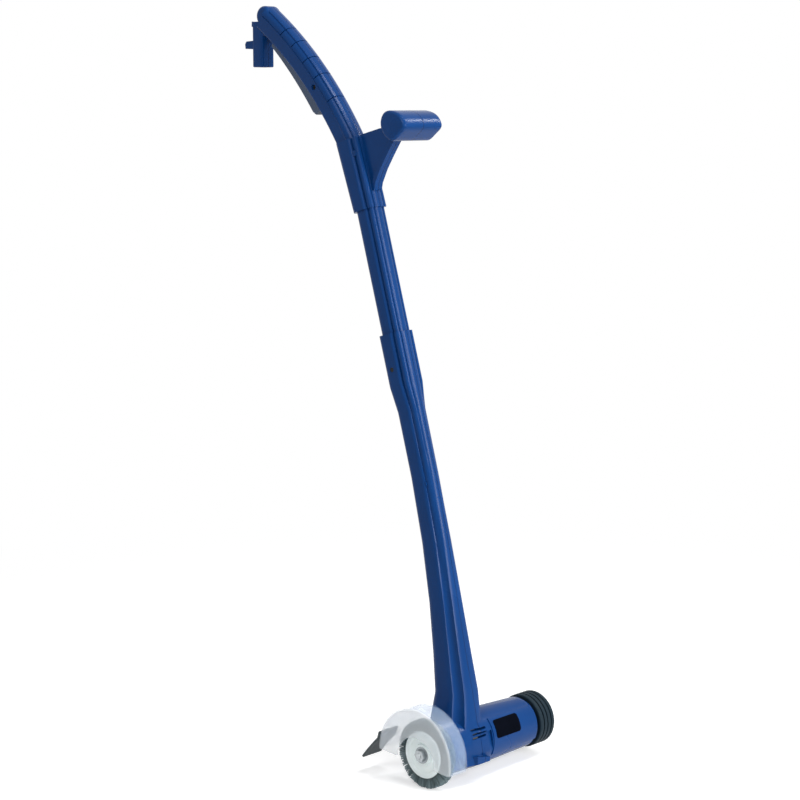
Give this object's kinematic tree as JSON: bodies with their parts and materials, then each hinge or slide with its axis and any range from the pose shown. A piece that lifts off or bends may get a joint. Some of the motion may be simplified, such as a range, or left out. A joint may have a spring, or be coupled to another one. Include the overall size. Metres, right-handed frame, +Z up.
{
  "type": "electric joint cleaner",
  "caption": "Upright electric joint cleaner: motor barrel with a rotating brush under a milky guard, guide wheel, leaning shaft, front grip and curved main grip with trigger",
  "frame": {"origin": "centre of the bounding box's bottom, on the ground under the brush and the shaft", "axes": "+Z up; the brush spindle lies along X with the brush at -X and the guide wheel at +X; -Y is the front, away from the user, and +Y the user's side"},
  "size_m": [0.257, 0.5105, 1.109],
  "materials": {
    "housing_blue": "glossy moulded",
    "trigger_dark": "satin moulded",
    "steel": "zinc plated",
    "black_steel": "blackened",
    "bearing_steel": "ground",
    "dark_plastic": "moulded",
    "brass": "turned",
    "cable_rubber": "smooth",
    "plate_black": "gloss",
    "cast_alloy": "cast",
    "lamination": "stacked",
    "copper": "wound",
    "disc_white": "moulded",
    "bristle_grey": "abrasive nylon",
    "guard_milky": "translucent moulded",
    "flap_rubber": "cut sheet",
    "tyre_rubber": "ribbed"
  },
  "bodies": {
    "frame": {"handle_shell_right": "housing_blue", "handle_shell_left": "housing_blue", "lower_shell_right": "housing_blue", "lower_shell_left": "housing_blue", "middle_tube": "housing_blue", "trigger_pin": "steel", "trigger_spring": "steel", "switch_body": "dark_plastic", "inlet_insert": "dark_plastic", "inlet_pins": "brass", "supply_lead": "cable_rubber", "motor_cable": "cable_rubber", "motor_leads": "cable_rubber", "terminal_block": "dark_plastic", "handle_screws": "black_steel", "shell_screws": "black_steel", "tube_screws": "black_steel", "barrel_plate": "plate_black", "motor_bulkhead": "cast_alloy", "bulkhead_screws": "steel", "stator_core": "lamination", "field_coils": "copper", "motor_bearings": "bearing_steel", "brush_holders": "brass", "carbon_brushes": "dark_plastic", "ring_gear": "bearing_steel", "spindle_bearings": "bearing_steel", "guard": "guard_milky", "guard_screws": "steel", "flap": "flap_rubber", "flap_rivets": "steel", "guide_axle": "steel"},
    "trigger": {"trigger": "trigger_dark"},
    "switch_plunger": {"switch_plunger": "dark_plastic"},
    "spindle": {"brush_spindle": "steel", "planet_pins": "bearing_steel", "brush_disc": "disc_white", "bristles": "bristle_grey", "brush_washer": "steel", "brush_nut": "steel"},
    "rotor": {"armature_shaft": "steel", "armature_core": "lamination", "winding_heads": "copper", "commutator": "copper", "cooling_fan": "dark_plastic", "sun_gear": "bearing_steel"},
    "planet_1": {"planet_gear_1": "bearing_steel"},
    "planet_2": {"planet_gear_2": "bearing_steel"},
    "planet_3": {"planet_gear_3": "bearing_steel"},
    "wheel": {"wheel_hub": "dark_plastic", "tyre": "tyre_rubber", "wheel_cap": "dark_plastic"}
  },
  "joints": [
    {"name": "trigger_pull", "type": "hinge", "parent": "frame", "child": "trigger", "pos_m": [-0.0315, 0.185, 1.054], "axis": [-1, 0, 0], "range_deg": [0, 3.6], "stiffness_Nm_per_rad": 2, "springref_deg": -8.59, "deforming": ["trigger_spring"]},
    {"name": "switch_press", "type": "slide", "parent": "frame", "child": "switch_plunger", "axis": [0, -0.6983, 0.7158], "range_m": [0, 0.00466]},
    {"name": "spindle_spin", "type": "hinge", "parent": "frame", "child": "spindle", "pos_m": [-0.1145, -0.192, 0.05], "axis": [1, 0, 0], "continuous": true},
    {"name": "rotor_spin", "type": "hinge", "parent": "frame", "child": "rotor", "pos_m": [0.0055, -0.192, 0.05], "axis": [1, 0, 0], "continuous": true},
    {"name": "wheel_roll", "type": "hinge", "parent": "frame", "child": "wheel", "pos_m": [0.1125, -0.192, 0.05], "axis": [1, 0, 0], "continuous": true},
    {"name": "planet_spin_1", "type": "hinge", "parent": "spindle", "child": "planet_1", "pos_m": [-0.0525, -0.192, 0.065], "axis": [1, 0, 0], "continuous": true},
    {"name": "planet_spin_2", "type": "hinge", "parent": "spindle", "child": "planet_2", "pos_m": [-0.0525, -0.20499, 0.0425], "axis": [1, 0, 0], "continuous": true},
    {"name": "planet_spin_3", "type": "hinge", "parent": "spindle", "child": "planet_3", "pos_m": [-0.0525, -0.17901, 0.0425], "axis": [1, 0, 0], "continuous": true}
  ],
  "couplings": [
    {"joint": "switch_press", "follows": "trigger_pull", "m_per_rad": 0.070935},
    {"joint": "rotor_spin", "follows": "spindle_spin", "ratio": 5},
    {"joint": "planet_spin_1", "follows": "spindle_spin", "ratio": -2.6667},
    {"joint": "planet_spin_2", "follows": "spindle_spin", "ratio": -2.6667},
    {"joint": "planet_spin_3", "follows": "spindle_spin", "ratio": -2.6667}
  ]
}
